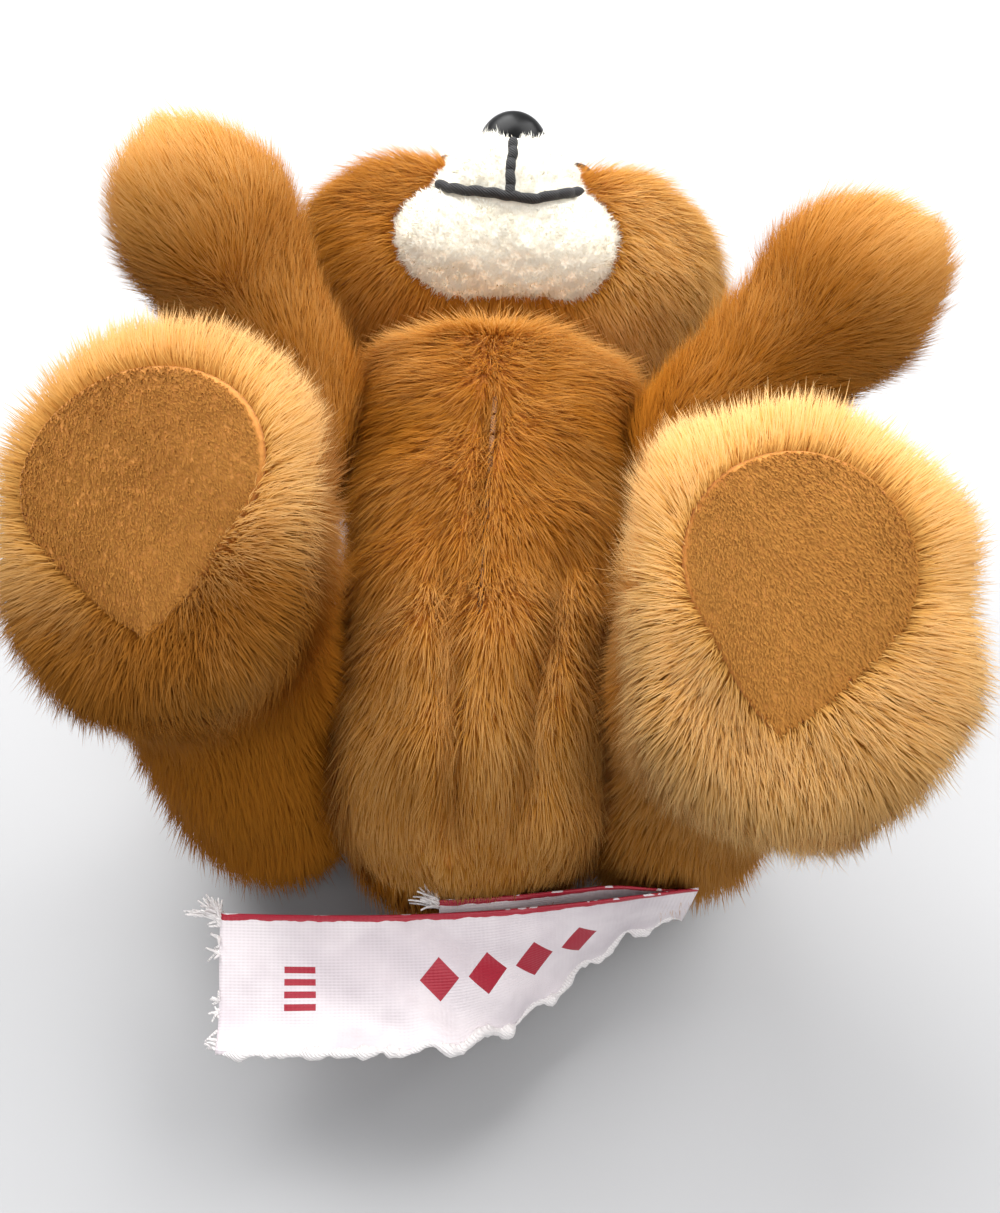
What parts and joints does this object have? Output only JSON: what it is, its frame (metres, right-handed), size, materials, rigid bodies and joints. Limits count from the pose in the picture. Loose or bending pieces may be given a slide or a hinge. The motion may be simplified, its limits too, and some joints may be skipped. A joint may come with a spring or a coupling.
{
  "type": "plush keychain bear",
  "caption": "Small stuffed plush bear lying on its back, with swinging head and limbs, a sewn ribbon label, and a split key ring on a crown loop.",
  "frame": {"origin": "middle of the flat that the stuffed back rests on, midway between seat and chest", "axes": "+X to the right as seen from the feet, +Y from the seat to the crown, +Z from the back up to the belly"},
  "size_m": [0.0912, 0.1588, 0.0591],
  "materials": {
    "plush": "golden brown plush pile",
    "inner_ear": "lighter short plush",
    "fleece": "white short fleece",
    "suede": "short suede-like pile",
    "filling": "polyester fibre",
    "thread": "sewing thread",
    "black_thread": "thick embroidery thread",
    "button": "glossy black",
    "washer": "natural nylon",
    "satin": "woven satin",
    "loop_ribbon": "woven tape",
    "ring": "nickel plated wire"
  },
  "bodies": {
    "torso": {"torso_cover": "plush", "torso_stuffing": "filling", "belly_seam_stitches": "thread", "seat_seam_stitches": "thread"},
    "head": {"head_cover": "plush", "head_stuffing": "filling", "muzzle_cover": "fleece", "muzzle_stuffing": "filling", "nose": "button", "nose_washer": "washer", "eye_left": "button", "eye_right": "button", "eye_washer_left": "washer", "eye_washer_right": "washer", "mouth_stitches": "black_thread", "philtrum_stitch": "black_thread", "ear_front_left": "inner_ear", "ear_back_left": "plush", "ear_front_right": "inner_ear", "ear_back_right": "plush"},
    "arm_left": {"arm_cover_left": "plush", "arm_stuffing_left": "filling"},
    "arm_right": {"arm_cover_right": "plush", "arm_stuffing_right": "filling"},
    "leg_left": {"leg_cover_left": "plush", "leg_stuffing_left": "filling", "sole_pad_left": "suede"},
    "leg_right": {"leg_cover_right": "plush", "leg_stuffing_right": "filling", "sole_pad_right": "suede"},
    "label": {"label": "satin"},
    "hang_loop": {"hang_loop": "loop_ribbon"},
    "split_ring": {"split_ring": "ring"}
  },
  "joints": [
    {"name": "head_nod", "type": "hinge", "parent": "torso", "child": "head", "pos_m": [0, 0.036, 0.017], "axis": [1, 0, 0], "range_deg": [-12, 15], "stiffness_Nm_per_rad": 0.6},
    {"name": "arm_left_swing", "type": "hinge", "parent": "torso", "child": "arm_left", "pos_m": [-0.02185, 0.018, 0.022], "axis": [1, 0, 0], "range_deg": [-22, 25], "stiffness_Nm_per_rad": 0.12},
    {"name": "arm_right_swing", "type": "hinge", "parent": "torso", "child": "arm_right", "pos_m": [0.02185, 0.018, 0.022], "axis": [1, 0, 0], "range_deg": [-22, 25], "stiffness_Nm_per_rad": 0.12},
    {"name": "leg_left_swing", "type": "hinge", "parent": "torso", "child": "leg_left", "pos_m": [-0.0212, -0.02107, 0.0145], "axis": [1, 0, 0], "range_deg": [-20, 18], "stiffness_Nm_per_rad": 0.3},
    {"name": "leg_right_swing", "type": "hinge", "parent": "torso", "child": "leg_right", "pos_m": [0.0212, -0.02107, 0.0145], "axis": [1, 0, 0], "range_deg": [-20, 18], "stiffness_Nm_per_rad": 0.3},
    {"name": "label_flap", "type": "hinge", "parent": "torso", "child": "label", "pos_m": [0.0235, -0.03383, 0.018], "axis": [-0.1045, 0.9345, 0.3401], "range_deg": [0, 22], "stiffness_Nm_per_rad": 0.004},
    {"name": "loop_swing", "type": "hinge", "parent": "head", "child": "hang_loop", "pos_m": [0, 0.06851, 0.00798], "axis": [1, 0, 0], "range_deg": [-30, 35]},
    {"name": "ring_swing", "type": "hinge", "parent": "hang_loop", "child": "split_ring", "pos_m": [0, 0.0825, 0.00295], "axis": [1, 0, 0], "range_deg": [-100, 50]}
  ]
}
